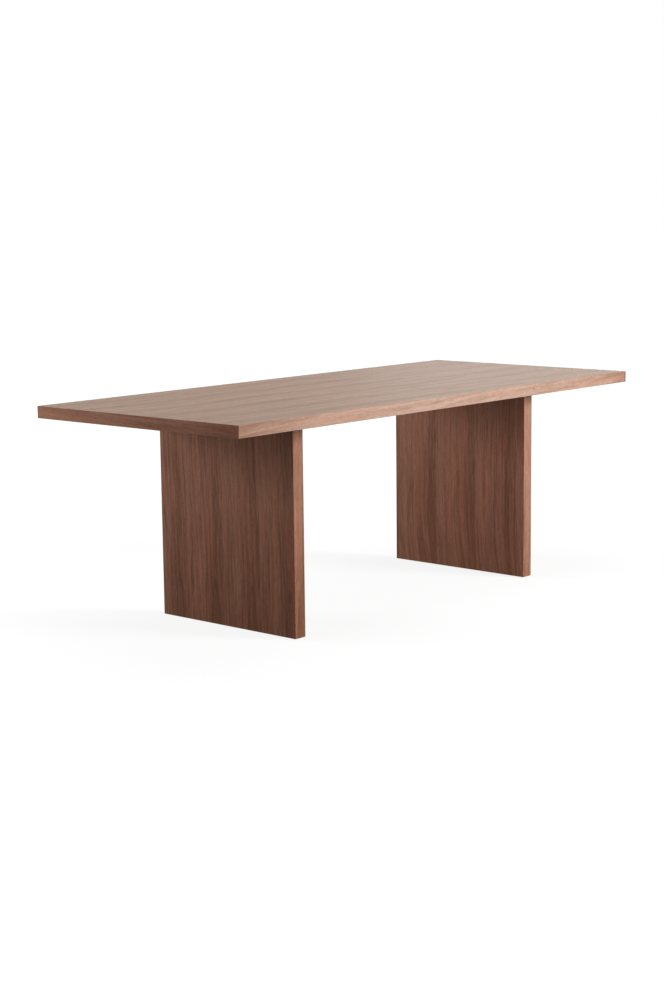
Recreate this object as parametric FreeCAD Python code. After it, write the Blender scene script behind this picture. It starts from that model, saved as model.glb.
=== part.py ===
"""A rectangular dining table: a thick veneered top carried on two upright slab legs.

The top and the legs are boards built on a frame: rails and ribs between two skins, lipped
with solid wood on the edges and veneered on the faces. A steel plate is let into the head of
each leg and bolted to the underside of the top. Each leg stands on two levelling feet.

Millimetres. The origin is on the floor under the middle of the top, +Z is up, X runs along
the top and the front edge faces minus Y.
"""

import FreeCAD
import Part

import math
import os

from FreeCAD import Vector

# Overall sizes
TABLE_LENGTH = 2100.0
TABLE_WIDTH = 900.0
TABLE_HEIGHT = 740.0
TOP_THICKNESS = 40.0
LEG_THICKNESS = 48.0
LEG_INSET = 400.0  # from an end of the top to the outer face of its leg
LEG_SETBACK = 148.0  # from a long edge of the top to the edge of a leg

# Boards
VENEER_THICKNESS = 0.6
TOP_SKIN_THICKNESS = 7.4
LEG_SKIN_THICKNESS = 7.4
TOP_LIPPING = 6.0
LEG_LIPPING = 6.0
ARRIS_RADIUS = 1.2

# Frame inside the top
TOP_RAIL_WIDTH = 60.0
RIB_WIDTH = 40.0
RIB_PITCH = 260.0  # the widest bay that the skins span
MOUNTING_BLOCK_LENGTH = 200.0

# Frame inside a leg
LEG_STILE_WIDTH = 60.0
LEG_TOP_RAIL_HEIGHT = 90.0
LEG_BOTTOM_RAIL_HEIGHT = 70.0
LEG_MIDDLE_RAIL_HEIGHT = 50.0
LEG_MIDDLE_RAIL_COUNT = 2

# Steel plate between a leg and the top
PLATE_SETBACK = 72.0  # from the edges of a leg to the ends of its plate
PLATE_WIDTH = 140.0
PLATE_THICKNESS = 5.0
PLATE_CORNER_RADIUS = 10.0
PLATE_END_CLEARANCE = 0.5
PLATE_BOLT_MARGIN = 24.0  # from the plate's edges to its bolt holes
PLATE_BOLT_ROWS = 3
PLATE_SCREW_MARGIN = 60.0  # from the plate's ends to its outer screws
PLATE_SCREW_COUNT = 4

# Threaded fasteners
THREAD_DIAMETER = 8.0
THREAD_PITCH = 1.25
ROUND_FIT = 0.1  # radial clearance of round pieces that seat in one another
CLEARANCE_HOLE_GAP = 0.5  # radial gap of a bolt in the plate
INSERT_WALL = 1.9
TOP_INSERT_LENGTH = 20.0
LEG_INSERT_LENGTH = 25.0
TIP_GAP = 2.0  # from a bolt's tip to the far end of its insert
BOLT_HEAD_DIAMETER = 14.0
BOLT_HEAD_HEIGHT = 4.4
BOLT_CROWN_DIAMETER = 7.5  # flat in the middle of the domed head
KEY_ACROSS_FLATS = 5.0
BOLT_KEY_DEPTH = 2.6
WASHER_DIAMETER = 18.0
WASHER_THICKNESS = 1.6
SCREW_HEAD_RISE = 4.0  # height of the 45 degree countersunk head
SCREW_SINK = 0.2  # the head lies this far under the plate's face

# Levelling feet
FOOT_REVEAL = 2.0  # the foot stands this far proud of the leg at rest
FOOT_TURNS = 8  # turns of the screw from one end of its travel to the other
FOOT_EDGE_MARGIN = 80.0  # from the leg's edges to a foot's axis
FOOT_PAD_DIAMETER = 30.0
FOOT_PAD_EDGE_RADIUS = 1.2
FOOT_POCKET_GAP = 2.0  # radial gap of the pad in the leg's lipping
FOOT_SOLE = 2.5  # thickness of the pad under the screw's head
FOOT_HEAD_DIAMETER = 13.0
FOOT_HEAD_HEIGHT = 2.6
FOOT_KEY_HOLE_DIAMETER = 7.0
FOOT_KEY_DEPTH = 3.5
FOOT_NUT_LENGTH = 25.0
FOOT_BORE_GAP = 1.0  # radial gap of the foot screw above its nut
FOOT_BORE_RUNOUT = 3.0

# Cutting tools run this far past what they cut
OVERRUN = 1.0

# Heights
UNDERSIDE = TABLE_HEIGHT - TOP_THICKNESS
TOP_CORE_LOW = UNDERSIDE + VENEER_THICKNESS + TOP_SKIN_THICKNESS
TOP_CORE_HIGH = TABLE_HEIGHT - VENEER_THICKNESS - TOP_SKIN_THICKNESS
LEG_LOW = FOOT_REVEAL
LEG_CORE_LOW = LEG_LOW + LEG_LIPPING
PLATE_LOW = UNDERSIDE - PLATE_THICKNESS
FOOT_TRAVEL = FOOT_TURNS * THREAD_PITCH

# Half sizes in plan, from the middle of the table or of a leg
HALF_LENGTH = TABLE_LENGTH / 2
HALF_WIDTH = TABLE_WIDTH / 2
PANEL_HALF_LENGTH = HALF_LENGTH - TOP_LIPPING
PANEL_HALF_WIDTH = HALF_WIDTH - TOP_LIPPING
FRAME_HALF_WIDTH = PANEL_HALF_WIDTH - TOP_RAIL_WIDTH
LEG_CENTRE = HALF_LENGTH - LEG_INSET - LEG_THICKNESS / 2
LEG_HALF_THICKNESS = LEG_THICKNESS / 2
LEG_HALF_WIDTH = HALF_WIDTH - LEG_SETBACK
LEG_PANEL_HALF_WIDTH = LEG_HALF_WIDTH - LEG_LIPPING
LEG_FRAME_HALF_WIDTH = LEG_PANEL_HALF_WIDTH - LEG_STILE_WIDTH
LEG_SKIN_FACE = LEG_HALF_THICKNESS - VENEER_THICKNESS
LEG_CORE_FACE = LEG_SKIN_FACE - LEG_SKIN_THICKNESS
PLATE_HALF_LENGTH = LEG_HALF_WIDTH - PLATE_SETBACK

# Round sizes that follow the thread
THREAD_BORE = THREAD_DIAMETER + 2 * ROUND_FIT
INSERT_DIAMETER = THREAD_BORE + 2 * INSERT_WALL
INSERT_HOLE = INSERT_DIAMETER + 2 * ROUND_FIT
CLEARANCE_HOLE = THREAD_DIAMETER + 2 * CLEARANCE_HOLE_GAP

SIDES = {"left": -1, "right": 1}
ENDS = {"front": -1, "back": 1}


def box(x_range, y_range, z_range):
    """A block between the given limits."""
    (x0, x1), (y0, y1), (z0, z1) = x_range, y_range, z_range
    return Part.makeBox(x1 - x0, y1 - y0, z1 - z0, Vector(x0, y0, z0))


def rod(diameter, place, z_range):
    """An upright round bar about a point of the plan."""
    low, high = z_range
    return Part.makeCylinder(diameter / 2, high - low, Vector(*place, low))


def cone(low_diameter, high_diameter, place, z_range):
    """An upright cone about a point of the plan."""
    low, high = z_range
    return Part.makeCone(low_diameter / 2, high_diameter / 2, high - low, Vector(*place, low))


def hexagon(across_flats, place, z_range):
    """An upright hexagonal bar about a point of the plan."""
    low, high = z_range
    corner = across_flats / 2 / math.cos(math.pi / 6)
    spoke = Vector(corner, 0, 0)
    points = []
    for turn in range(7):
        turned = FreeCAD.Rotation(Vector(0, 0, 1), 60 * turn).multVec(spoke)
        points.append(Vector(*place, low) + turned)
    return Part.Face(Part.makePolygon(points)).extrude(Vector(0, 0, high - low))


def mirrored_range(side, near, far):
    """The limits between two distances from the middle, on one side of it."""
    return tuple(sorted((side * near, side * far)))


def around(middle, half):
    """The limits a half size either way from a middle."""
    return (middle - half, middle + half)


def spread(count, half_span):
    """Evenly spaced places from minus half_span to half_span."""
    if count == 1:
        return [0]
    return [half_span * (2 * i / (count - 1) - 1) for i in range(count)]


def eased_top():
    """The outline of the whole top, with every arris eased."""
    block = box(around(0, HALF_LENGTH), around(0, HALF_WIDTH), (UNDERSIDE, TABLE_HEIGHT))
    return block.makeFillet(ARRIS_RADIUS, block.Edges)


def eased_leg(centre):
    """The outline of a whole leg, with every arris eased but those that meet the top."""
    block = box(around(centre, LEG_HALF_THICKNESS), around(0, LEG_HALF_WIDTH), (LEG_LOW, UNDERSIDE))
    arrises = [e for e in block.Edges if e.BoundBox.ZMin < UNDERSIDE - ARRIS_RADIUS]
    return block.makeFillet(ARRIS_RADIUS, arrises)


def leg_centre(side):
    """The leg's middle plane, along X."""
    return SIDES[side] * LEG_CENTRE


def bolt_places(side):
    """Where the bolts pass up through a plate's two flanges."""
    column = PLATE_WIDTH / 2 - PLATE_BOLT_MARGIN
    rows = spread(PLATE_BOLT_ROWS, PLATE_HALF_LENGTH - PLATE_BOLT_MARGIN)
    return [(leg_centre(side) + sign * column, y) for sign in (-1, 1) for y in rows]


def screw_places(side):
    """Where the screws pass down through a plate into the head of its leg."""
    rows = spread(PLATE_SCREW_COUNT, PLATE_HALF_LENGTH - PLATE_SCREW_MARGIN)
    return [(leg_centre(side), y) for y in rows]


def foot_place(side, end):
    """The axis of a levelling foot."""
    return (leg_centre(side), ENDS[end] * (LEG_HALF_WIDTH - FOOT_EDGE_MARGIN))


def foot_places(side):
    """The axes of the feet under one leg."""
    return [foot_place(side, end) for end in ENDS]


def all_places(places):
    """The places of both legs, in one list."""
    return [place for side in SIDES for place in places(side)]


def top_insert_holes():
    """Bores for the threaded inserts, through the underside into the mounting blocks."""
    z_range = (UNDERSIDE - OVERRUN, UNDERSIDE + TOP_INSERT_LENGTH + TIP_GAP)
    return [rod(INSERT_HOLE, place, z_range) for place in all_places(bolt_places)]


def make_top():
    """The top: two veneers, two skins, four lippings and the frame between the skins."""
    outline = eased_top()
    holes = top_insert_holes()
    full_x, full_y = around(0, HALF_LENGTH), around(0, HALF_WIDTH)
    panel_x, panel_y = around(0, PANEL_HALF_LENGTH), around(0, PANEL_HALF_WIDTH)
    frame_y = around(0, FRAME_HALF_WIDTH)
    core_z = (TOP_CORE_LOW, TOP_CORE_HIGH)
    lipping_z = (UNDERSIDE + VENEER_THICKNESS, TABLE_HEIGHT - VENEER_THICKNESS)

    face = box(full_x, full_y, (TABLE_HEIGHT - VENEER_THICKNESS, TABLE_HEIGHT))
    underside = box(full_x, full_y, (UNDERSIDE, UNDERSIDE + VENEER_THICKNESS))
    lower_skin = box(panel_x, panel_y, (UNDERSIDE + VENEER_THICKNESS, TOP_CORE_LOW))
    pieces = {
        "top_face_veneer": face.common(outline),
        "top_upper_skin": box(panel_x, panel_y, (TOP_CORE_HIGH, TABLE_HEIGHT - VENEER_THICKNESS)),
        "top_lower_skin": lower_skin.cut(holes),
        "top_underside_veneer": underside.common(outline).cut(holes),
        "top_cross_ribs": Part.makeCompound(cross_ribs()),
    }
    for end, sign in ENDS.items():
        rail_y = mirrored_range(sign, FRAME_HALF_WIDTH, PANEL_HALF_WIDTH)
        edge_y = mirrored_range(sign, PANEL_HALF_WIDTH, HALF_WIDTH)
        pieces[f"top_{end}_rail"] = box(panel_x, rail_y, core_z)
        pieces[f"top_{end}_lipping"] = box(panel_x, edge_y, lipping_z).common(outline)
    for side, sign in SIDES.items():
        rail_x = mirrored_range(sign, PANEL_HALF_LENGTH - TOP_RAIL_WIDTH, PANEL_HALF_LENGTH)
        edge_x = mirrored_range(sign, PANEL_HALF_LENGTH, HALF_LENGTH)
        block_x = around(leg_centre(side), MOUNTING_BLOCK_LENGTH / 2)
        pieces[f"top_{side}_end_rail"] = box(rail_x, frame_y, core_z)
        pieces[f"top_{side}_lipping"] = box(edge_x, full_y, lipping_z).common(outline)
        pieces[f"top_{side}_mounting_block"] = box(block_x, frame_y, core_z).cut(holes)
    return pieces


def cross_ribs():
    """Ribs that hold the two skins apart, evenly spaced in each bay of the frame."""
    block_inner = LEG_CENTRE - MOUNTING_BLOCK_LENGTH / 2
    block_outer = LEG_CENTRE + MOUNTING_BLOCK_LENGTH / 2
    rail_inner = PANEL_HALF_LENGTH - TOP_RAIL_WIDTH
    bays = [(-rail_inner, -block_outer), (-block_inner, block_inner), (block_outer, rail_inner)]
    ribs = []
    for low, high in bays:
        spaces = math.ceil((high - low) / RIB_PITCH)
        for i in range(1, spaces):
            x = low + (high - low) * i / spaces
            rib_x = around(x, RIB_WIDTH / 2)
            ribs.append(box(rib_x, around(0, FRAME_HALF_WIDTH), (TOP_CORE_LOW, TOP_CORE_HIGH)))
    return ribs


def plate_notch(centre):
    """The housing across the head of a leg that the plate lies in."""
    half = PLATE_HALF_LENGTH + PLATE_END_CLEARANCE
    reach = LEG_HALF_THICKNESS + OVERRUN
    return box(around(centre, reach), around(0, half), (PLATE_LOW, UNDERSIDE + OVERRUN))


def make_leg(side):
    """A leg: two veneers, two skins, three lippings and the frame between the skins."""
    centre, sign = leg_centre(side), SIDES[side]
    outline, notch = eased_leg(centre), plate_notch(centre)
    panel_y = around(0, LEG_PANEL_HALF_WIDTH)
    frame_y = around(0, LEG_FRAME_HALF_WIDTH)
    core_x = around(centre, LEG_CORE_FACE)
    lipping_x = around(centre, LEG_SKIN_FACE)
    core_z = (LEG_CORE_LOW, UNDERSIDE)
    leg_z = (LEG_LOW, UNDERSIDE)
    pieces = {}
    for face, out in (("outer", sign), ("inner", -sign)):
        skin_x = tuple(centre + x for x in mirrored_range(out, LEG_CORE_FACE, LEG_SKIN_FACE))
        veneer_x = tuple(centre + x for x in mirrored_range(out, LEG_SKIN_FACE, LEG_HALF_THICKNESS))
        veneer = box(veneer_x, around(0, LEG_HALF_WIDTH), leg_z).common(outline)
        pieces[f"{side}_leg_{face}_skin"] = box(skin_x, panel_y, core_z).cut(notch)
        pieces[f"{side}_leg_{face}_veneer"] = veneer.cut(notch)
    for end, way in ENDS.items():
        stile_y = mirrored_range(way, LEG_FRAME_HALF_WIDTH, LEG_PANEL_HALF_WIDTH)
        edge_y = mirrored_range(way, LEG_PANEL_HALF_WIDTH, LEG_HALF_WIDTH)
        pieces[f"{side}_leg_{end}_stile"] = box(core_x, stile_y, core_z).cut(notch)
        pieces[f"{side}_leg_{end}_lipping"] = box(lipping_x, edge_y, leg_z).common(outline)

    head = box(core_x, frame_y, (UNDERSIDE - LEG_TOP_RAIL_HEIGHT, UNDERSIDE))
    foot = box(core_x, frame_y, (LEG_CORE_LOW, LEG_CORE_LOW + LEG_BOTTOM_RAIL_HEIGHT))
    sole = box(lipping_x, panel_y, (LEG_LOW, LEG_CORE_LOW)).common(outline)
    pieces[f"{side}_leg_top_rail"] = head.cut([notch] + leg_insert_holes(side))
    pieces[f"{side}_leg_middle_rails"] = Part.makeCompound(middle_rails(core_x, frame_y))
    pieces[f"{side}_leg_bottom_rail"] = foot.cut(foot_bores(side))
    pieces[f"{side}_leg_bottom_lipping"] = sole.cut(foot_pockets(side))
    return pieces


def middle_rails(core_x, frame_y):
    """Rails evenly spaced between the top and bottom rails of a leg."""
    low = LEG_CORE_LOW + LEG_BOTTOM_RAIL_HEIGHT
    high = UNDERSIDE - LEG_TOP_RAIL_HEIGHT
    rails = []
    for i in range(1, LEG_MIDDLE_RAIL_COUNT + 1):
        z = low + (high - low) * i / (LEG_MIDDLE_RAIL_COUNT + 1)
        rails.append(box(core_x, frame_y, around(z, LEG_MIDDLE_RAIL_HEIGHT / 2)))
    return rails


def leg_insert_holes(side):
    """Bores in the head of a leg for the inserts that its plate is screwed to."""
    z_range = (PLATE_LOW - LEG_INSERT_LENGTH - TIP_GAP, PLATE_LOW + OVERRUN)
    return [rod(INSERT_HOLE, place, z_range) for place in screw_places(side)]


def foot_screw_top():
    """The top of a foot screw at rest: at full travel it is still flush with its nut."""
    return LEG_CORE_LOW + FOOT_NUT_LENGTH + FOOT_TRAVEL


def foot_bores(side):
    """Bores in the bottom rail for the foot nuts and for the screws above them."""
    nut_z = (LEG_CORE_LOW - OVERRUN, LEG_CORE_LOW + FOOT_NUT_LENGTH)
    screw_z = (LEG_CORE_LOW, foot_screw_top() + FOOT_BORE_RUNOUT)
    bores = []
    for place in foot_places(side):
        bores.append(rod(INSERT_HOLE, place, nut_z))
        bores.append(rod(THREAD_DIAMETER + 2 * FOOT_BORE_GAP, place, screw_z))
    return bores


def foot_pockets(side):
    """Round pockets through the bottom lipping that the foot pads draw up into."""
    z_range = (LEG_LOW - OVERRUN, LEG_CORE_LOW + OVERRUN)
    diameter = FOOT_PAD_DIAMETER + 2 * FOOT_POCKET_GAP
    return [rod(diameter, place, z_range) for place in foot_places(side)]


def make_plate(side):
    """The steel plate that joins a leg to the top, drilled for bolts and countersunk for screws."""
    centre = leg_centre(side)
    plate = box(around(centre, PLATE_WIDTH / 2), around(0, PLATE_HALF_LENGTH), (PLATE_LOW, UNDERSIDE))
    corners = [e for e in plate.Edges if e.BoundBox.ZLength > PLATE_THICKNESS / 2]
    plate = plate.makeFillet(PLATE_CORNER_RADIUS, corners)
    through = (PLATE_LOW - OVERRUN, UNDERSIDE + OVERRUN)
    tools = [rod(CLEARANCE_HOLE, place, through) for place in bolt_places(side) + screw_places(side)]
    for place in screw_places(side):
        rise = SCREW_HEAD_RISE + SCREW_SINK
        tools.append(cone(THREAD_BORE, THREAD_BORE + 2 * rise, place, (UNDERSIDE - rise, UNDERSIDE)))
    return plate.cut(tools)


def insert(place, z_range):
    """A threaded insert: a sleeve with a bore for the thread."""
    low, high = z_range
    bore = rod(THREAD_BORE, place, (low - OVERRUN, high + OVERRUN))
    return rod(INSERT_DIAMETER, place, z_range).cut(bore)


def plate_bolt(place):
    """A button-head bolt with a hexagon socket, its head under the plate."""
    seat = PLATE_LOW - WASHER_THICKNESS
    crown = seat - BOLT_HEAD_HEIGHT
    tip = UNDERSIDE + TOP_INSERT_LENGTH - TIP_GAP
    rim, flat = BOLT_HEAD_DIAMETER / 2, BOLT_CROWN_DIAMETER / 2
    centre = (rim**2 - flat**2 + BOLT_HEAD_HEIGHT**2) / (2 * BOLT_HEAD_HEIGHT)
    middle = (math.atan2(flat, centre) + math.atan2(rim, centre - BOLT_HEAD_HEIGHT)) / 2
    dome = math.hypot(flat, centre)
    shoulder = Vector(dome * math.sin(middle), 0, crown + centre - dome * math.cos(middle))
    edge = [
        Part.LineSegment(Vector(0, 0, crown), Vector(flat, 0, crown)).toShape(),
        Part.Arc(Vector(flat, 0, crown), shoulder, Vector(rim, 0, seat)).toShape(),
        Part.LineSegment(Vector(rim, 0, seat), Vector(0, 0, seat)).toShape(),
        Part.LineSegment(Vector(0, 0, seat), Vector(0, 0, crown)).toShape(),
    ]
    head = Part.Face(Part.Wire(edge)).revolve(Vector(0, 0, 0), Vector(0, 0, 1), 360)
    head.translate(Vector(*place, 0))
    key = hexagon(KEY_ACROSS_FLATS, place, (crown - OVERRUN, crown + BOLT_KEY_DEPTH))
    return head.fuse(rod(THREAD_DIAMETER, place, (seat, tip))).removeSplitter().cut(key)


def bolt_washer(place):
    """A flat washer between a bolt's head and the plate."""
    z_range = (PLATE_LOW - WASHER_THICKNESS, PLATE_LOW)
    hole_z = (z_range[0] - OVERRUN, z_range[1] + OVERRUN)
    return rod(WASHER_DIAMETER, place, z_range).cut(rod(CLEARANCE_HOLE, place, hole_z))


def plate_screw(place):
    """A countersunk screw that holds the plate to the head of the leg."""
    face = UNDERSIDE - SCREW_SINK
    neck = face - SCREW_HEAD_RISE
    tip = PLATE_LOW - LEG_INSERT_LENGTH + TIP_GAP
    head = cone(THREAD_DIAMETER, THREAD_DIAMETER + 2 * SCREW_HEAD_RISE, place, (neck, face))
    key = hexagon(KEY_ACROSS_FLATS, place, (face - BOLT_KEY_DEPTH, face + OVERRUN))
    return head.fuse(rod(THREAD_DIAMETER, place, (tip, neck))).removeSplitter().cut(key)


def foot_pad(place):
    """A nylon pad that traps the head of its foot screw and turns freely on it."""
    head_low, head_high = FOOT_SOLE, FOOT_SOLE + FOOT_HEAD_HEIGHT + 2 * ROUND_FIT
    pad = rod(FOOT_PAD_DIAMETER, place, (0, LEG_CORE_LOW))
    rims = [e for e in pad.Edges if e.BoundBox.ZLength < LEG_CORE_LOW / 2]
    pad = pad.makeFillet(FOOT_PAD_EDGE_RADIUS, rims)
    hollow = [
        rod(FOOT_KEY_HOLE_DIAMETER, place, (-OVERRUN, head_high)),
        rod(FOOT_HEAD_DIAMETER + 2 * ROUND_FIT, place, (head_low, head_high)),
        rod(THREAD_BORE, place, (head_low, LEG_CORE_LOW + OVERRUN)),
    ]
    return pad.cut(hollow)


def foot_screw(place):
    """A foot screw: its head turns in the pad and its thread runs in the leg's nut."""
    low = FOOT_SOLE + ROUND_FIT
    head = rod(FOOT_HEAD_DIAMETER, place, (low, low + FOOT_HEAD_HEIGHT))
    stem = rod(THREAD_DIAMETER, place, (low, foot_screw_top()))
    key = hexagon(KEY_ACROSS_FLATS, place, (low - OVERRUN, low + FOOT_KEY_DEPTH))
    return head.fuse(stem).removeSplitter().cut(key)


def make_fasteners():
    """Bolts, washers, screws, inserts and nuts: each kind is one group of separate solids."""
    top_insert_z = (UNDERSIDE, UNDERSIDE + TOP_INSERT_LENGTH)
    leg_insert_z = (PLATE_LOW - LEG_INSERT_LENGTH, PLATE_LOW)
    foot_nut_z = (LEG_CORE_LOW, LEG_CORE_LOW + FOOT_NUT_LENGTH)
    groups = {
        "plate_bolts": [plate_bolt(p) for p in all_places(bolt_places)],
        "bolt_washers": [bolt_washer(p) for p in all_places(bolt_places)],
        "plate_screws": [plate_screw(p) for p in all_places(screw_places)],
        "top_inserts": [insert(p, top_insert_z) for p in all_places(bolt_places)],
        "leg_inserts": [insert(p, leg_insert_z) for p in all_places(screw_places)],
        "foot_nuts": [insert(p, foot_nut_z) for p in all_places(foot_places)],
    }
    return {name: Part.makeCompound(solids) for name, solids in groups.items()}


def make_table():
    """Every piece of the table, by name."""
    pieces = make_top() | make_fasteners()
    for side in SIDES:
        pieces |= make_leg(side)
        pieces[f"{side}_leg_plate"] = make_plate(side)
        for end in ENDS:
            pieces[f"{side}_{end}_foot_pad"] = foot_pad(foot_place(side, end))
            pieces[f"{side}_{end}_foot_screw"] = foot_screw(foot_place(side, end))
    return pieces


def main():
    os.makedirs("parts", exist_ok=True)
    pieces = make_table()
    for name, shape in sorted(pieces.items()):
        shape.exportStep(f"parts/{name}.step")
        solids, valid = len(shape.Solids), shape.isValid()
        print(f"{name:28s} solids {solids:3d}  volume {shape.Volume:12.1f}  valid {valid}")
    print(f"{len(pieces)} nodes; each foot travels {FOOT_TRAVEL:g} in {FOOT_TURNS} turns")


main()
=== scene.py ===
# %% [markdown]
# # A slab-leg dining table in walnut veneer
# The table is a thick flat top on two upright slab legs. Its boards are hollow: softwood frames between
# fibreboard skins, dressed with walnut veneer on the faces and solid walnut lippings on the edges. The
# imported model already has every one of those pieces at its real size. So this lesson keeps their shapes,
# cuts a thread on the foot screws, and spends its effort on the camera, the studio and above all the
# wood.

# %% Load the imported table
import math

import bmesh
import bpy
from mathutils import Color, Matrix, Vector


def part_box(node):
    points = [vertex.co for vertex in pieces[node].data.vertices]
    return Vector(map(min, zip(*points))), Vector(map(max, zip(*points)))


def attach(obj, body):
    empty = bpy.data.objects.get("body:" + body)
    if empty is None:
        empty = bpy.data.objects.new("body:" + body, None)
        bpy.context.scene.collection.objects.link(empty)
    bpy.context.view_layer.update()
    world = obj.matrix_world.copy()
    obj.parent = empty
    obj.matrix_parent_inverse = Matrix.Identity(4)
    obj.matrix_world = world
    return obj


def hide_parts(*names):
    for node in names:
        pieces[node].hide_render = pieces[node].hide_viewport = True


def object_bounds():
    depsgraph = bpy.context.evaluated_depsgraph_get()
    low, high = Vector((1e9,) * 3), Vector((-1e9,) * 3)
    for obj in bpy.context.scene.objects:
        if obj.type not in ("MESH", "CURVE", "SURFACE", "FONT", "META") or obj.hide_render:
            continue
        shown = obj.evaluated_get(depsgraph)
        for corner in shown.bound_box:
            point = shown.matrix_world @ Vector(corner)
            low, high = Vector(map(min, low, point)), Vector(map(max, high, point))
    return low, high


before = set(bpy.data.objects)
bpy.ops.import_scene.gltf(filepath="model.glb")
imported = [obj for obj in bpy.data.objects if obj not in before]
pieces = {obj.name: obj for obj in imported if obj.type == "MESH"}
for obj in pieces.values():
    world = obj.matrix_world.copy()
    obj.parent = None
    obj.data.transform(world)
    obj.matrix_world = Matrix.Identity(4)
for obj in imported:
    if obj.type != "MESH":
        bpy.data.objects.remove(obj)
cad_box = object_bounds()
scene = bpy.context.scene
cad_low, cad_high = ([round(length, 3) for length in corner] for corner in cad_box)
print(len(pieces), "pieces, from", cad_low, "to", cad_high)

# %% [markdown]
# The photograph was taken from a little above the table's top, off its front left corner, with a lens
# long enough to keep the far leg from shrinking much. A camera can be placed by eye, but straight
# furniture gives it away: the edges of the top and the legs fix where it stood, which way it looked and
# how much it leaned. Those values are used here.

# %% Place the camera
IMAGE_WIDTH = 664
IMAGE_HEIGHT = 1000
SENSOR_HEIGHT = 36.0
CAMERA_PLACE = (-4.8929, -4.1868, 1.3822)
CAMERA_TURN = math.radians(-48.733)
CAMERA_DOWN = math.radians(9.186)
CAMERA_ROLL = math.radians(-0.645)
FOCAL_PIXELS = 1845.4

camera_data = bpy.data.cameras.new("camera")
camera_data.sensor_fit = "VERTICAL"
camera_data.sensor_height = SENSOR_HEIGHT
camera_data.sensor_width = SENSOR_HEIGHT * IMAGE_WIDTH / IMAGE_HEIGHT
camera_data.lens = FOCAL_PIXELS / IMAGE_HEIGHT * SENSOR_HEIGHT
camera = bpy.data.objects.new("camera", camera_data)
camera.matrix_world = (
    Matrix.Translation(CAMERA_PLACE)
    @ Matrix.Rotation(CAMERA_TURN, 4, "Z")
    @ Matrix.Rotation(math.radians(90) - CAMERA_DOWN, 4, "X")
    @ Matrix.Rotation(CAMERA_ROLL, 4, "Z")
)
scene.collection.objects.link(camera)
scene.camera = camera
scene.view_settings.view_transform = "Standard"
print("camera with a lens of", round(camera_data.lens, 1), "mm")

# %% [markdown]
# Wood finishes are made of many small sums, and writing each node and link out by hand hides the recipe.
# A bench is a small helper that adds one node at a time to a tree. Whatever is handed to a node may be a
# plain number, a colour or the output of another node, so a recipe reads from top to bottom like a sum on
# paper.

# %% A bench to build node trees on
class Bench:
    """Adds nodes to one tree. A value given to a node is a number, a colour or another node's output."""

    def __init__(self, tree):
        self.tree = tree

    def feed(self, socket, value):
        if isinstance(value, bpy.types.NodeSocket):
            self.tree.links.new(value, socket)
        else:
            socket.default_value = value

    def add(self, kind, sockets=None, **settings):
        node = self.tree.nodes.new(kind)
        for name, value in settings.items():
            setattr(node, name, value)
        for name, value in (sockets or {}).items():
            self.feed(node.inputs[name], value)
        return node

    def use(self, group, sockets):
        """Places a node group, hands it its values and returns its outputs by name."""
        return self.add("ShaderNodeGroup", sockets, node_tree=group).outputs

    def sum(self, operation, *values):
        node = self.add("ShaderNodeMath", operation=operation)
        for socket, value in zip(node.inputs, values):
            self.feed(socket, value)
        return node.outputs[0]

    def ease(self, value, low, high, start=0.0, end=1.0):
        """A smooth step: start below low, end above high."""
        sockets = {"Value": value, "From Min": low, "From Max": high, "To Min": start, "To Max": end}
        return self.add("ShaderNodeMapRange", sockets, interpolation_type="SMOOTHSTEP").outputs[0]

    def blend(self, factor, first, second, way="MIX"):
        """Mixes two colours. A Mix node has sockets of several kinds, and its colours are 6 and 7."""
        node = self.add("ShaderNodeMix", data_type="RGBA", blend_type=way)
        for place, value in ((0, factor), (6, first), (7, second)):
            self.feed(node.inputs[place], value)
        return node.outputs[2]


def new_bench(name):
    """A material with an empty tree, a bench on it and its surface output."""
    material = bpy.data.materials.new(name)
    material.use_nodes = True
    material.node_tree.nodes.clear()
    bench = Bench(material.node_tree)
    return material, bench, bench.add("ShaderNodeOutputMaterial").inputs["Surface"]


def grey(level):
    return (level, level, level, 1.0)


print("bench ready")

# %% [markdown]
# The studio is a white sweep: floor and background are one white, and the table leaves only a soft
# shadow. Turning the lamps up until a floor burns out would burn the wood out too. Instead the Light Path
# node tells the floor and the world who is looking: the camera and the reflections in lacquer and metal
# see white, and the wood is lit by a calm light. Round the table part of the floor's white is left to the
# lamps, which is what shows the shadow. The floor is seen from above only, so that a camera below it can
# look up at the underside.

# %% Lay the floor
FLOOR_HALF = 60.0
SHADOW_NEAR = 1.2
SHADOW_FAR = 4.0
GLOW_NEAR = 0.86
SHADOW_SHARE = 0.20
FLOOR_BOUNCE = 0.14


def pick(bench, factor, first, second):
    """The first shader where the factor is 0, the second where it is 1."""
    return bench.add("ShaderNodeMixShader", {0: factor, 1: first, 2: second}).outputs[0]


def seen_directly(bench):
    """1 for rays from the camera and from reflections, 0 for light that is being gathered."""
    path = bench.add("ShaderNodeLightPath").outputs
    mirrored = bench.sum("MAXIMUM", path["Is Glossy Ray"], path["Is Transmission Ray"])
    return bench.sum("MAXIMUM", path["Is Camera Ray"], mirrored)


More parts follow.
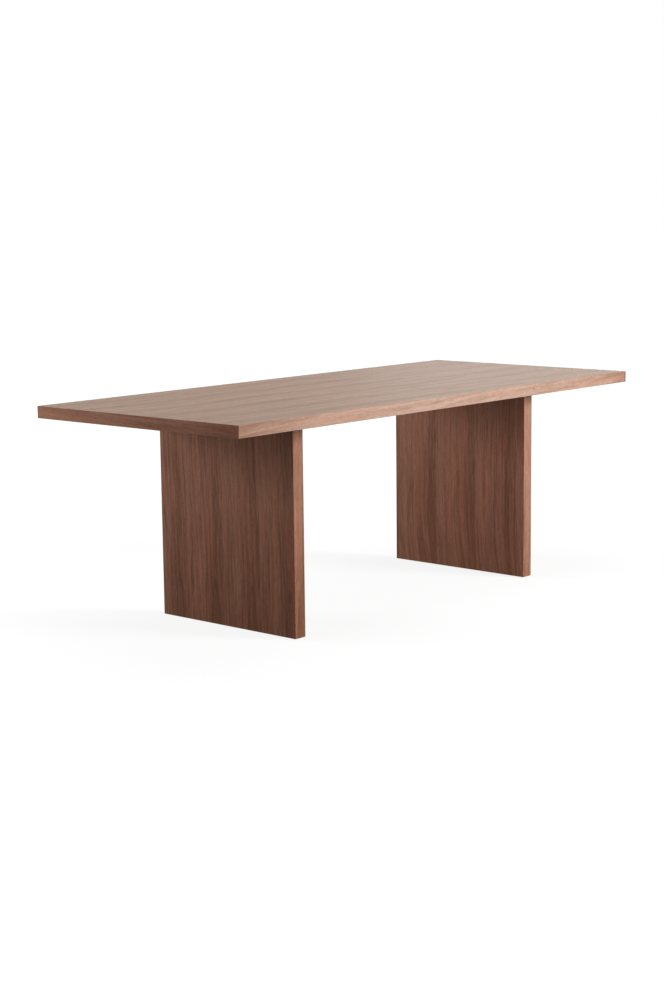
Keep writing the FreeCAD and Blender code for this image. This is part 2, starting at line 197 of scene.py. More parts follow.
floor_material, bench, surface = new_bench("floor_white")
spot = bench.add("ShaderNodeTexCoord").outputs["Object"]
away = bench.add("ShaderNodeVectorMath", {0: spot}, operation="LENGTH").outputs["Value"]
strength = bench.ease(away, SHADOW_NEAR, SHADOW_FAR, GLOW_NEAR, 1.0)
glow = bench.add("ShaderNodeEmission", {"Color": grey(1.0), "Strength": strength}).outputs[0]
shadow_part = bench.add("ShaderNodeBsdfDiffuse", {"Color": grey(SHADOW_SHARE)}).outputs[0]
white = bench.add("ShaderNodeAddShader", {0: glow, 1: shadow_part}).outputs[0]
bounce = bench.add("ShaderNodeBsdfDiffuse", {"Color": grey(FLOOR_BOUNCE)}).outputs[0]
from_above = pick(bench, seen_directly(bench), bounce, white)
clear = bench.add("ShaderNodeBsdfTransparent").outputs[0]
behind = bench.add("ShaderNodeNewGeometry").outputs["Backfacing"]
bench.feed(surface, pick(bench, behind, from_above, clear))

floor_corners = [(x * FLOOR_HALF, y * FLOOR_HALF, 0.0) for x, y in ((-1, -1), (1, -1), (1, 1), (-1, 1))]
floor_mesh = bpy.data.meshes.new("floor")
floor_mesh.from_pydata(floor_corners, [], [(0, 1, 2, 3)])
floor_mesh.materials.append(floor_material)
floor = bpy.data.objects.new("floor", floor_mesh)
scene.collection.objects.link(floor)
print("floor", 2 * FLOOR_HALF, "m wide")

# %% [markdown]
# The light is soft and comes mostly from one side. A large soft box stands well off to the front right
# and above the table: far enough away to light the whole front edge, and near enough that the right end
# is brighter than the left. The faces that look to the left get a weak box from the back left and the
# fill of the room, which is why the slab legs read as dark as they do. A third box hangs over the top,
# and a last one stands far off beyond the right end, where lacquer seen at a low angle mirrors it as a
# sheen that grows along the top. A sun lamp would be simpler, but it lights both ends alike. The large
# box is kept out of reflections, because its glare would bleach a corner of the top for anyone who looks
# from behind.

# %% Light the table
WORLD_FILL = 0.16
SOFT_BOXES = {
    "key": {"place": (3.4, -7.2, 2.6), "size": 2.6, "power": 735.0, "mirrored": False},
    "fill": {"place": (-2.3, 2.9, 1.1), "size": 1.2, "power": 72.0, "mirrored": True},
    "overhead": {"place": (0.3, 0.0, 3.8), "size": 2.4, "power": 40.0, "mirrored": True},
    "sheen": {"place": (13.86, 8.0, 2.9), "size": 5.6, "power": 120.0, "mirrored": True},
}

world = bpy.data.worlds.new("white_sweep")
world.use_nodes = True
world.node_tree.nodes.clear()
bench = Bench(world.node_tree)
fill = bench.add("ShaderNodeBackground", {"Color": grey(1.0), "Strength": WORLD_FILL}).outputs[0]
white = bench.add("ShaderNodeBackground", {"Color": grey(1.0), "Strength": 1.0}).outputs[0]
sky = bench.add("ShaderNodeOutputWorld").inputs["Surface"]
bench.feed(sky, pick(bench, seen_directly(bench), fill, white))
scene.world = world


def soft_box(name, target, place, size, power, mirrored):
    """A square area lamp at a place, turned towards a target. Reflections show it if it is mirrored."""
    lamp = bpy.data.lights.new(name, "AREA")
    lamp.shape = "SQUARE"
    lamp.size = size
    lamp.energy = power
    box = bpy.data.objects.new(name, lamp)
    ahead = target - Vector(place)
    box.matrix_world = Matrix.Translation(place) @ ahead.to_track_quat("-Z", "Y").to_matrix().to_4x4()
    box.visible_glossy = mirrored
    scene.collection.objects.link(box)


table_middle = (cad_box[0] + cad_box[1]) / 2
for name, lamp in SOFT_BOXES.items():
    soft_box(name, table_middle, **lamp)
    print("soft box", name, lamp)

# %% [markdown]
# Veneer is cut from a log in thin slices, called leaves, and the leaves are laid side by side like tiles.
# In a slip match every leaf is laid the same way round, so the figure repeats across the board. A texture
# of the whole face would be simpler, but it would lose that beat. This group turns a place on the board
# into a place within its leaf, and marks the fine line where two leaves meet.

# %% Node group: veneer leaves
SEAM_HALF_WIDTH = 0.0003
VALUE = "NodeSocketFloat"


def new_group(name, inputs, outputs):
    """A node group, a bench to fill it on, its input values by name and its output sockets by name."""
    group = bpy.data.node_groups.new(name, "ShaderNodeTree")
    for label, kind in inputs.items():
        group.interface.new_socket(label, in_out="INPUT", socket_type=kind)
    for label, kind in outputs.items():
        group.interface.new_socket(label, in_out="OUTPUT", socket_type=kind)
    bench = Bench(group)
    given = bench.add("NodeGroupInput").outputs
    result = bench.add("NodeGroupOutput").inputs
    return group, bench, given, result


def values(*labels):
    return dict.fromkeys(labels, VALUE)


leaves_group, bench, given, result = new_group(
    "veneer_leaves",
    values("Across", "Leaf Width", "First Joint"),
    values("Local", "Leaf", "Seam"),
)
from_joint = bench.sum("SUBTRACT", given["Across"], given["First Joint"])
count = bench.sum("DIVIDE", from_joint, given["Leaf Width"])
leaf = bench.sum("FLOOR", count)
share = bench.sum("SUBTRACT", count, leaf)
to_joint = bench.sum("MINIMUM", share, bench.sum("SUBTRACT", 1.0, share))
gap = bench.sum("MULTIPLY", to_joint, given["Leaf Width"])
bench.feed(result["Local"], bench.sum("MULTIPLY", share, given["Leaf Width"]))
bench.feed(result["Leaf"], leaf)
bench.feed(result["Seam"], bench.ease(gap, 0.0, SEAM_HALF_WIDTH, 1.0, 0.0))
print("group", leaves_group.name)

# %% [markdown]
# The figure of a board is a cut through the rings of a tree. Where the knife runs beside the heart, the
# rings show as straight lines; where the heart comes up to the cut, they close into arches. A Wave
# texture can draw stripes or circles, but not the one turning into the other. So the group works out how
# far each place is from the heart of an imagined log. The heart lies at a depth below the sheet that
# changes along the grain, which closes the rings into arches, and slow noise makes the fibres wander.
# Neighbouring leaves come from neighbouring slices, so their noise differs only a little.

# %% Node group: a slice through a log
WANDER = {"cells": (8.0, 2.4), "detail": 1.0}
RIPPLE = {"cells": (40.0, 8.0), "detail": 1.0}
RIPPLE_SHARE = 0.14
SLICE_STEP = 0.12
NOISE_MIDDLE = 0.5


def grain_noise(bench, given, moment, cells, detail):
    """Cloudy values about zero in long cells: so many cells a metre across the grain, so many along it."""
    place = bench.add("ShaderNodeCombineXYZ", {
        "X": bench.sum("MULTIPLY", given["Across"], cells[0]),
        "Y": bench.sum("MULTIPLY", given["Depth"], cells[0]),
        "Z": bench.sum("MULTIPLY", given["Along"], cells[1]),
    }).outputs[0]
    sockets = {"Vector": place, "W": moment, "Scale": 1.0, "Detail": detail}
    cloud = bench.add("ShaderNodeTexNoise", sockets, noise_dimensions="4D").outputs[0]
    return bench.sum("SUBTRACT", cloud, NOISE_MIDDLE)


slice_group, bench, given, result = new_group(
    "log_slice",
    values(
        "Across", "Depth", "Along", "Leaf", "Seed", "Lean", "Splay", "Splay From", "Wander",
        "Heart Across", "Heart Along", "Heart Depth", "Rise", "Reach",
    ),
    values("Radius", "Drifted"),
)
moment = bench.sum("MULTIPLY_ADD", given["Leaf"], SLICE_STEP, given["Seed"])
slow = grain_noise(bench, given, moment, **WANDER)
quick = grain_noise(bench, given, moment, **RIPPLE)
wander = bench.sum("MULTIPLY_ADD", quick, RIPPLE_SHARE, slow)
wander = bench.sum("MULTIPLY", wander, bench.sum("DIVIDE", given["Wander"], NOISE_MIDDLE))
past_heart = bench.sum("SUBTRACT", given["Along"], given["Heart Along"])
below = bench.sum("MAXIMUM", bench.sum("SUBTRACT", given["Splay From"], given["Along"]), 0.0)
splay = bench.sum("MULTIPLY", bench.sum("MULTIPLY", below, below), given["Splay"])
drifted = bench.sum("MULTIPLY_ADD", past_heart, given["Lean"], bench.sum("ADD", given["Across"], splay))
drifted = bench.sum("ADD", drifted, wander)
across = bench.sum("SUBTRACT", drifted, given["Heart Across"])
rise = bench.ease(bench.sum("ABSOLUTE", past_heart), 0.0, given["Reach"])
depth = bench.sum("MULTIPLY_ADD", rise, given["Rise"], given["Heart Depth"])
depth = bench.sum("ADD", depth, given["Depth"])
square = bench.sum("MULTIPLY_ADD", across, across, bench.sum("MULTIPLY", depth, depth))
bench.feed(result["Radius"], bench.sum("SQRT", square))
bench.feed(result["Drifted"], drifted)
print("group", slice_group.name)

# %% [markdown]
# Every year's ring starts pale and ends in a thin dark line, no two rings are equally wide, and whole
# runs of rings are darker than others. A colour ramp with a stop for each ring could draw them, but a log
# has dozens. All three only depend on the distance from the heart, so noise along that one number draws
# them, and they follow the arches by themselves. One ring near the heart is often much darker than its
# neighbours, and closes into the arch that the eye finds first.

# %% Node group: growth rings
RING_LINE_START = 0.45
RING_LINE_END = 0.92
RING_UNEVEN = 1.2
RING_SPREAD = 2.7
RING_STRENGTH_EDGES = (0.3, 0.7)
FAINTEST_RING = 0.1
YEAR_STEP = 5.3
BAND_CELLS = 26.0
BAND_DETAIL = 2.0
BAND_EDGES = (0.32, 0.68)
HEART_EDGES = (0.010, 0.045)
ARCH_HALF_WIDTH = 0.0022


def line_noise(bench, place, detail=0.0):
    """Values from 0 to 1 that vary along one number only."""
    sockets = {"W": place, "Scale": 1.0, "Detail": detail}
    return bench.add("ShaderNodeTexNoise", sockets, noise_dimensions="1D").outputs[0]


rings_group, bench, given, result = new_group(
    "growth_rings",
    values("Radius", "Ring Width", "Arch Radius", "Seed"),
    values("Line", "Band", "Heart", "Arch"),
)
steps = bench.sum("DIVIDE", given["Radius"], given["Ring Width"])
uneven = line_noise(bench, bench.sum("MULTIPLY_ADD", steps, 1.0 / RING_SPREAD, given["Seed"]))
steps = bench.sum("MULTIPLY_ADD", uneven, RING_UNEVEN, steps)
year = bench.sum("FLOOR", steps)
season = bench.sum("SUBTRACT", steps, year)
late = bench.ease(season, RING_LINE_START, RING_LINE_END)
late = bench.sum("MULTIPLY", late, bench.ease(season, RING_LINE_END, 1.0, 1.0, 0.0))
strength = line_noise(bench, bench.sum("MULTIPLY_ADD", year, YEAR_STEP, given["Seed"]))
strength = bench.ease(strength, *RING_STRENGTH_EDGES, FAINTEST_RING, 1.0)
bench.feed(result["Line"], bench.sum("MULTIPLY", late, strength))
bench.feed(result["Heart"], bench.ease(given["Radius"], *HEART_EDGES, 1.0, 0.0))
to_arch = bench.sum("ABSOLUTE", bench.sum("SUBTRACT", given["Radius"], given["Arch Radius"]))
bench.feed(result["Arch"], bench.ease(to_arch, 0.0, ARCH_HALF_WIDTH, 1.0, 0.0))
band_place = bench.sum("MULTIPLY_ADD", given["Radius"], BAND_CELLS, given["Seed"])
bench.feed(result["Band"], bench.ease(line_noise(bench, band_place, BAND_DETAIL), *BAND_EDGES))
print("group", rings_group.name)

# %% [markdown]
# Close up, walnut is a bundle of fibres with short open pores, like pencil dashes a few millimetres long.
# All of it is noise that is stretched a great deal along the grain: broad streaks of lighter and darker
# wood, a reddish blush that comes and goes, short flecks, thin fibres, and pores. One noise with many
# octaves would be quicker, but then no part could be made stronger than another. The pores are cut into
# the surface, so they take part in the bump too.

# %% Node group: fibres and pores
STREAK = {"cells": (110.0, 3.4), "detail": 2.0}
DASH = {"cells": (190.0, 16.0), "detail": 1.0}
BLUSH = {"cells": (48.0, 1.5), "detail": 1.0}
FLECK = {"cells": (300.0, 45.0), "detail": 1.0}
FIBRE = {"cells": (520.0, 7.0), "detail": 2.0}
PORE = {"cells": (2100.0, 85.0), "detail": 0.0}
DASH_SHARE = 0.6
BLUSH_SEED = 7.7
BLUSH_EDGES = (-0.06, 0.20)
PORE_EDGES = (0.10, 0.20)

fibres_group, bench, given, result = new_group(
    "wood_fibres",
    values("Across", "Depth", "Along", "Seed"),
    values("Streak", "Blush", "Fleck", "Fibre", "Pore"),
)
seed = given["Seed"]
streak = grain_noise(bench, given, seed, **STREAK)
dash = grain_noise(bench, given, seed, **DASH)
bench.feed(result["Streak"], bench.sum("MULTIPLY_ADD", dash, DASH_SHARE, streak))
bench.feed(result["Fleck"], grain_noise(bench, given, seed, **FLECK))
bench.feed(result["Fibre"], grain_noise(bench, given, seed, **FIBRE))
blush = grain_noise(bench, given, bench.sum("ADD", seed, BLUSH_SEED), **BLUSH)
bench.feed(result["Blush"], bench.ease(blush, *BLUSH_EDGES))
bench.feed(result["Pore"], bench.ease(grain_noise(bench, given, seed, **PORE), *PORE_EDGES))
print("group", fibres_group.name)

# %% [markdown]
# The edges of a board are eased with a stroke of sandpaper, and hands and cloths go on rubbing them, so an
# arris ends up a little paler and duller than the faces. On the wood the paler strip is partly that wear
# and partly a painted highlight, of the light that a rounded edge catches. The Pointiness of the Geometry
# node could find such edges, but only on a dense mesh. A board is a box, and on the surface of a box the
# second smallest of the three distances to its sides is the distance to the nearest edge. Noise makes the
# rubbed strip uneven.

# %% Node group: arrises, rubbed and with a painted highlight
RUB_WIDTH = 0.0036
RUB_CELLS = 90.0
RUB_DETAIL = 2.0
VECTOR = "NodeSocketVector"


def vector_sum(bench, operation, first, second):
    return bench.add("ShaderNodeVectorMath", {0: first, 1: second}, operation=operation).outputs[0]


def worn_and_highlit_edges(bench, position, board):
    """1 on the arrises of a board, which is a box given by its low and its high corner: rubbed wear, and
    on wood a painted highlight.
    """
    return bench.use(arris_group, {"Position": position, "Low": board[0], "High": board[1]})["Arris"]


arris_group, bench, given, result = new_group(
    "rubbed_arris", {"Position": VECTOR, "Low": VECTOR, "High": VECTOR}, values("Arris")
)
from_low = vector_sum(bench, "SUBTRACT", given["Position"], given["Low"])
to_high = vector_sum(bench, "SUBTRACT", given["High"], given["Position"])
nearest = vector_sum(bench, "MINIMUM", from_low, to_high)
x, y, z = bench.add("ShaderNodeSeparateXYZ", {"Vector": nearest}).outputs
rest = bench.sum("MINIMUM", bench.sum("MAXIMUM", x, y), z)
to_edge = bench.sum("MAXIMUM", bench.sum("MINIMUM", x, y), rest)
rub_sockets = {"Vector": given["Position"], "Scale": RUB_CELLS, "Detail": RUB_DETAIL}
patchy = bench.add("ShaderNodeTexNoise", rub_sockets).outputs[0]
width = bench.sum("MULTIPLY", patchy, RUB_WIDTH)
bench.feed(result["Arris"], bench.ease(to_edge, 0.0, width, 1.0, 0.0))
print("group", arris_group.name)

# %% [markdown]
# The last wood group mixes the parts into a finish. Its three colours are the pale wood, the dark wood
# and the reddish blush of one surface, and each strength says how much of a part shows. It could be left
# to every material to mix its own, but then a change of recipe would have to be made many times. The ends
# of a solid piece show end grain, which drinks more of the finish and turns out darker: those are the
# faces that look along the grain. The group gives the colour, a roughness that is lower on the lacquered
# fibres than in the pores, and a height for the bump.

# %% Node group: wood finish
COLOUR = "NodeSocketColor"
MIDDLE_TONE = 0.5
FIBRE_ROUGHNESS = 0.20
PORE_ROUGHNESS = 0.22
SEAM_STRENGTH = 0.25
END_GRAIN_EDGES = (0.6, 0.9)
END_GRAIN_STRENGTH = 0.55
LINE_FAR_SHARE = 0.5
# Arrises of wood are paler: part rubbed wear, part painted highlight.
ARRIS_WEAR_AND_HIGHLIGHT = 0.35
ARRIS_ROUGHNESS = 0.10
FIBRE_HEIGHT = 0.7


def tints(*labels):
    return dict.fromkeys(labels, COLOUR)


finish_group, bench, given, result = new_group(
    "wood_finish",
    values(
        "Tone", "Shade", "Heart", "Line", "Arch", "Streak", "Blush", "Fleck", "Fibre", "Pore",
        "Seam", "Arris", "Facing", "Satin", "Tone Strength", "Heart Strength", "Line Strength",
        "Arch Strength", "Streak Strength", "Blush Strength", "Fleck Strength", "Fibre Strength",
        "Pore Strength",
    )
    | tints("Pale", "Dark", "Red"),
    tints("Colour") | values("Roughness", "Height"),
)
tone = bench.sum("MULTIPLY", bench.sum("SUBTRACT", given["Tone"], MIDDLE_TONE), given["Tone Strength"])
# Shade is a tone along the board: partly painted shade on the legs and the end lippings.
tone = bench.sum("ADD", tone, given["Shade"])
for part in ("Heart", "Streak"):
    tone = bench.sum("MULTIPLY_ADD", given[part], given[f"{part} Strength"], tone)
tone = bench.ease(bench.sum("ADD", tone, MIDDLE_TONE), 0.0, 1.0)
base = bench.blend(tone, given["Pale"], given["Dark"])
base = bench.blend(bench.sum("MULTIPLY", given["Blush"], given["Blush Strength"]), base, given["Red"])
# Paler arrises: rubbed wear and a painted highlight.
base = bench.blend(bench.sum("MULTIPLY", given["Arris"], ARRIS_WEAR_AND_HIGHLIGHT), base, given["Pale"])
shade = 1.0
for part in ("Fibre", "Fleck"):
    shade = bench.sum("MULTIPLY_ADD", given[part], given[f"{part} Strength"], shade)
near_heart = bench.ease(given["Heart"], 0.0, 1.0, LINE_FAR_SHARE, 1.0)
end_grain = bench.ease(bench.sum("ABSOLUTE", given["Facing"]), *END_GRAIN_EDGES)
for mask, strength in (
    (bench.sum("MULTIPLY", given["Line"], near_heart), given["Line Strength"]),
    (given["Arch"], given["Arch Strength"]),
    (given["Pore"], given["Pore Strength"]),
    (given["Seam"], SEAM_STRENGTH),
    (end_grain, END_GRAIN_STRENGTH),
):
    kept = bench.sum("SUBTRACT", 1.0, bench.sum("MULTIPLY", mask, strength))
    shade = bench.sum("MULTIPLY", shade, kept)
shade = bench.add("ShaderNodeCombineColor", {"Red": shade, "Green": shade, "Blue": shade}).outputs[0]
bench.feed(result["Colour"], bench.blend(1.0, base, shade, "MULTIPLY"))
rough = bench.sum("MULTIPLY_ADD", given["Fibre"], -FIBRE_ROUGHNESS, given["Satin"])
rough = bench.sum("MULTIPLY_ADD", given["Arris"], ARRIS_ROUGHNESS, rough)
bench.feed(result["Roughness"], bench.sum("MULTIPLY_ADD", given["Pore"], PORE_ROUGHNESS, rough))
hollow = bench.sum("MAXIMUM", given["Pore"], given["Seam"])
raised = bench.sum("MULTIPLY", given["Fibre"], FIBRE_HEIGHT)
bench.feed(result["Height"], bench.sum("SUBTRACT", raised, hollow))
print("group", finish_group.name)

# %% [markdown]
# Before the groups can be used, a place on a piece has to be turned so that the grain runs the right way.
# UV maps could do that, but the place comes from object coordinates instead, which are metres in the
# table's own frame: every grain is at its real scale, and nothing depends on unwrapping. Three letters say
# which axis runs across the grain, which into the depth and which along it. Tones that a log really has,
# stripe by stripe, are written down as a few stops of a colour ramp, and so are tones along a board, some
# of which are painted shade.

# %% Colours, places and tones
BYTE = 255
MILLIMETRES = 1000


def hue(red, green, blue):
    """A colour given as 0 to 255, as a picture editor shows it, in Blender's linear light."""
    shown = Color((red / BYTE, green / BYTE, blue / BYTE))
    return (*shown.from_srgb_to_scene_linear(), 1.0)


def place_in_grain(bench, position, order):
    """Metres across the grain, into the depth and along the grain. A small letter counts backwards."""
    axes = bench.add("ShaderNodeSeparateXYZ", {"Vector": position}).outputs
    return [
        axes[letter] if letter.isupper() else bench.sum("MULTIPLY", axes[letter.upper()], -1.0)
        for letter in order
    ]


def tone_profile(bench, share, stops):
    """Tone from 0 for pale to 1 for dark, through stops of (share of the way, tone)."""
    node = bench.add("ShaderNodeValToRGB", {"Fac": share})
    ramp = node.color_ramp
    ramp.interpolation = "EASE"
    while len(ramp.elements) < len(stops):
        ramp.elements.new(MIDDLE_TONE)
    for element, (position, tone) in zip(ramp.elements, stops):
        element.position = position
        element.color = grey(tone)
    return node.outputs[0]


print("half of full red is", round(hue(BYTE / 2, 0, 0)[0], 3), "in linear light")

# %% [markdown]
# The figure of a piece is what the groups make of each place on it. A sheet of veneer has leaves and no
# depth; a solid piece has depth and no leaves. Both could have a recipe of their own, but they share
# everything else, so one function takes either. A knot is where a twig grew: a small dark eye in the
# grain.

# %% The figure of a piece
FIBRE_SLICE_STEP = 0.35
KNOT_HALF_SIZE = (0.0027, 0.0050)
KNOT_EDGES = (0.5, 1.3)
KNOT_STRENGTH = 0.8
KNOT_COLOUR = (0.10, 0.045, 0.028, 1.0)


def read_figure(bench, place, seed, log, rings, leaf=None, stripes=None):
    """Sends a place in the grain through the groups and returns the parts of the figure by name."""
    across, depth, along = place
    spot = {"Across": across, "Depth": depth, "Along": along, "Seed": seed}
    parts = {}
    fibre_seed = seed
    if leaf:
        leaves = bench.use(leaves_group, {"Across": across} | leaf)
        spot |= {"Across": leaves["Local"], "Depth": 0.0, "Leaf": leaves["Leaf"]}
        parts["Seam"] = leaves["Seam"]
        fibre_seed = bench.sum("MULTIPLY_ADD", leaves["Leaf"], FIBRE_SLICE_STEP, seed)
    cut = bench.use(slice_group, spot | log)
    ring = bench.use(rings_group, {"Radius": cut["Radius"], "Seed": seed} | rings)
    fibre_spot = {"Across": cut["Drifted"], "Depth": spot["Depth"], "Along": along, "Seed": fibre_seed}
    fibres = bench.use(fibres_group, fibre_spot)
    parts |= {label: ring[label] for label in ("Heart", "Line", "Arch")}
    parts |= {label: fibres[label] for label in ("Streak", "Blush", "Fleck", "Fibre", "Pore")}
    parts["Tone"] = ring["Band"]
    if stripes:
        share = bench.sum("DIVIDE", cut["Drifted"], leaf["Leaf Width"])
        parts["Tone"] = tone_profile(bench, share, stripes)
    return parts


def add_knot(bench, colour, place, knot):
    """Darkens a small eye round a knot's place across and along the grain."""
    squares = []
    for value, middle, half in zip(place, knot, KNOT_HALF_SIZE):
        share = bench.sum("DIVIDE", bench.sum("SUBTRACT", value, middle), half)
        squares.append(bench.sum("MULTIPLY", share, share))
    reach = bench.sum("SQRT", bench.sum("ADD", *squares))
    return bench.blend(bench.ease(reach, *KNOT_EDGES, KNOT_STRENGTH, 0.0), colour, KNOT_COLOUR)


print("a knot is", [round(2 * half * MILLIMETRES, 1) for half in KNOT_HALF_SIZE], "mm across and along")

# %% [markdown]
# A wood material is then a short recipe: read the figure, find the arrises, send it all through the finish
# and feed one Principled BSDF. A log isn't the same from end to end, so the tone may change along the
# grain, and one part of the figure may fade; on the legs and the end lippings that change of tone is
# partly painted shade. One material could serve all the walnut, but then pieces that meet would show one
# figure. Each gets a material of its own, because its place in the log is its own.

# %% Recipe for wood
PORE_DEPTH = 0.00008
BUMP_STRENGTH = 0.6
SATIN_SPECULAR = 0.08


def wood(
    name, order, seed, board, colours, log, rings, show,
    leaf=None, stripes=None, fade=None, tones_and_shade=None, knot=None, specular=SATIN_SPECULAR,
):
    """A wood material for a board, which is a box. Most of the rest are values of the groups by name.

    fade is the strength that fades and its smooth step along the grain: low, high, start, end.
    Tones along the grain are given as the two ends of the board and the tones between them; on the legs
    and the end lippings they are partly painted shade.
    """
    material, bench, surface = new_bench(name)
    coordinates = bench.add("ShaderNodeTexCoord").outputs
    position = coordinates["Object"]
    across, depth, along = place_in_grain(bench, position, order)
    parts = read_figure(bench, (across, depth, along), seed, log, rings, leaf, stripes)
    normal = bench.add("ShaderNodeSeparateXYZ", {"Vector": coordinates["Normal"]}).outputs
    parts["Facing"] = normal[order[-1]]
    parts["Arris"] = worn_and_highlit_edges(bench, position, board)
    if fade:
        part, *span = fade
        show = show | {part: bench.ease(along, *span)}
    # Tones along the grain, partly painted shade on the legs and the end lippings.
    if tones_and_shade:
        start, end, stops = tones_and_shade
        share = bench.sum("DIVIDE", bench.sum("SUBTRACT", along, start), end - start)
        parts["Shade"] = bench.sum("SUBTRACT", tone_profile(bench, share, stops), MIDDLE_TONE)
    finish = bench.use(finish_group, parts | colours | show)
    colour = finish["Colour"]
    if knot:
        colour = add_knot(bench, colour, (across, along), knot)
    bump_sockets = {"Height": finish["Height"], "Strength": BUMP_STRENGTH, "Distance": PORE_DEPTH}
    shader = bench.add("ShaderNodeBsdfPrincipled", {
        "Base Color": colour,
        "Roughness": finish["Roughness"],
        "Normal": bench.add("ShaderNodeBump", bump_sockets).outputs[0],
        "Specular IOR Level": specular,
    })
    bench.feed(surface, shader.outputs[0])
    return material


print("recipe for wood ready")

# %% [markdown]
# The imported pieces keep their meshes, so a finish reaches them through their material slots. A modifier
# or a copy of the mesh could carry it too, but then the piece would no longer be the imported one. Several
# pieces that make up one board share the box of that board, so that only its outer arrises are rubbed.
# Every piece comes with a plain colour, and the names of those are noted, to find a forgotten piece by.

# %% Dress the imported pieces
packed_colours = {colour.name for piece in pieces.values() for colour in piece.data.materials}


def box_round(*names):
    """The box round some pieces, as its low and its high corner."""
    corners = [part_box(name) for name in names]
    low = Vector([min(corner[0][axis] for corner in corners) for axis in range(3)])
    high = Vector([max(corner[1][axis] for corner in corners) for axis in range(3)])
    return low, high


def dress(material, *names):
    """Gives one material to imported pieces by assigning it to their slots."""
    for name in names:
        mesh = pieces[name].data
        if not mesh.materials:
            mesh.materials.append(material)
        for place in range(len(mesh.materials)):
            mesh.materials[place] = material
    print(material.name, "on", ", ".join(names))


print(len(pieces), "pieces to dress, in", len(packed_colours), "plain colours")

# %% [markdown]
# The slab legs are dressed with upright leaves. On the left leg they are about 168 mm wide, each with a
# dark band along its back edge where the heart of the log is near, an arch at the foot of the band, and
# paler reddish stripes in front of it. Noise would draw stripes too, but never these, so the log's own
# stripes are written down as a profile across the leaf. The head of a leg is covered by the top, so its
# box is taken higher than it is: then no arris is rubbed there.

# %% Veneer of the left leg
HIDDEN_HEAD = Vector((0.0, 0.0, 1.0))
# Painted shade: the leg veneer gets darker towards the foot, standing in for light that falls off towards
# the floor.
LEG_PAINTED_SHADE_BY_HEIGHT = ((0.0, 0.70), (0.3, 0.60), (0.7, 0.42), (1.0, 0.36))
LEG_PARTS = ("outer_veneer", "inner_veneer", "front_lipping", "back_lipping")
LEG_RINGS = {"Ring Width": 0.0120, "Arch Radius": 0.0225}
LEG_SHOW = {
    "Satin": 0.62,
    "Heart Strength": 0.20,
    "Line Strength": 0.12,
    "Streak Strength": 1.25,
    "Blush Strength": 0.45,
    "Fleck Strength": 0.35,
    "Fibre Strength": 0.60,
    "Pore Strength": 0.30,
}
LEFT_VENEER = {
    "colours": {"Pale": hue(166, 117, 94), "Dark": hue(119, 77, 56), "Red": hue(174, 111, 87)},
    "leaf": {"Leaf Width": 0.168, "First Joint": -0.077},
    "log": {
        "Heart Across": 0.030,
        "Heart Along": -0.30,
        "Heart Depth": 0.004,
        "Rise": 0.060,
        "Reach": 1.20,
        "Lean": 0.02,
        "Wander": 0.014,
    },
    "rings": LEG_RINGS,
    "show": LEG_SHOW | {"Arch Strength": 0.30},
    "stripes": (
        (0.02, 0.84), (0.13, 0.80), (0.22, 0.80), (0.31, 0.90), (0.38, 0.64), (0.45, 0.06),
        (0.53, 0.26), (0.64, 0.44), (0.78, 0.06), (0.87, 0.25), (0.96, 0.60),
    ),
    "fade": ("Tone Strength", 0.08, 0.30, 0.26, 0.38),
}


def leg_box(side):
    """The box round a whole leg."""
    return box_round(*(f"{side}_leg_{part}" for part in LEG_PARTS))


def dress_leg(side, veneer, seeds):
    """Dresses the faces of a leg with veneer of one log, each from its own place in the log, painted
    darker towards the foot as shade.
    """
    low, high = leg_box(side)
    board = (low, high + HIDDEN_HEAD)
    # The tones up the height of the leg are painted shade.
    tones_and_shade = (low.z, high.z, LEG_PAINTED_SHADE_BY_HEIGHT)
    for face, seed in seeds.items():
        name = f"{side}_leg_{face}"
        walnut = wood(f"{name}_walnut", "yXZ", seed, board, tones_and_shade=tones_and_shade, **veneer)
        dress(walnut, f"{name}_veneer")


dress_leg("left", LEFT_VENEER, {"outer": 3.0, "inner": 5.5})

# %% [markdown]
# The right leg comes from another log. Its leaves are wider, the dark band lies at their front edge round
# a dark eye, and towards the foot the stripes splay to one side. It could share the left leg's values,
# but the two faces are seen side by side, and the same figure on both would look printed.

# %% Veneer of the right leg
RIGHT_VENEER = {
    "colours": {"Pale": hue(185, 135, 113), "Dark": hue(140, 92, 69), "Red": hue(194, 125, 99)},
    "leaf": {"Leaf Width": 0.187, "First Joint": -0.102},
    "log": {
        "Heart Across": 0.158,
        "Heart Along": 0.285,
        "Heart Depth": 0.012,
        "Rise": 0.014,
        "Reach": 0.24,
        "Splay": -0.26,
        "Splay From": 0.29,
        "Wander": 0.014,
    },
    "rings": LEG_RINGS,
    "show": LEG_SHOW,
    "stripes": (
        (0.00, 0.28), (0.13, 0.14), (0.24, 0.44), (0.30, 0.46), (0.38, 0.22), (0.46, 0.62),
        (0.54, 0.75), (0.63, 0.72), (0.71, 0.66), (0.79, 0.74), (0.88, 0.66), (0.97, 0.48),
    ),
    "fade": ("Tone Strength", 0.30, 0.56, 0.42, 0.12),
}
dress_leg("right", RIGHT_VENEER, {"inner": 8.0, "outer": 11.5})

# %% [markdown]
# The grain of the top runs along its length. Its figure could be as strong as the legs', but it is kept
# quiet, because the low camera looks across it and mostly sees the sheen of the lacquer. For that sheen
# the top is given more specular than the rest, and its colours are greyer than the legs': partly the wood,
# partly painted sheen. The underside has a balancing veneer of the same wood, so that the top stays flat.

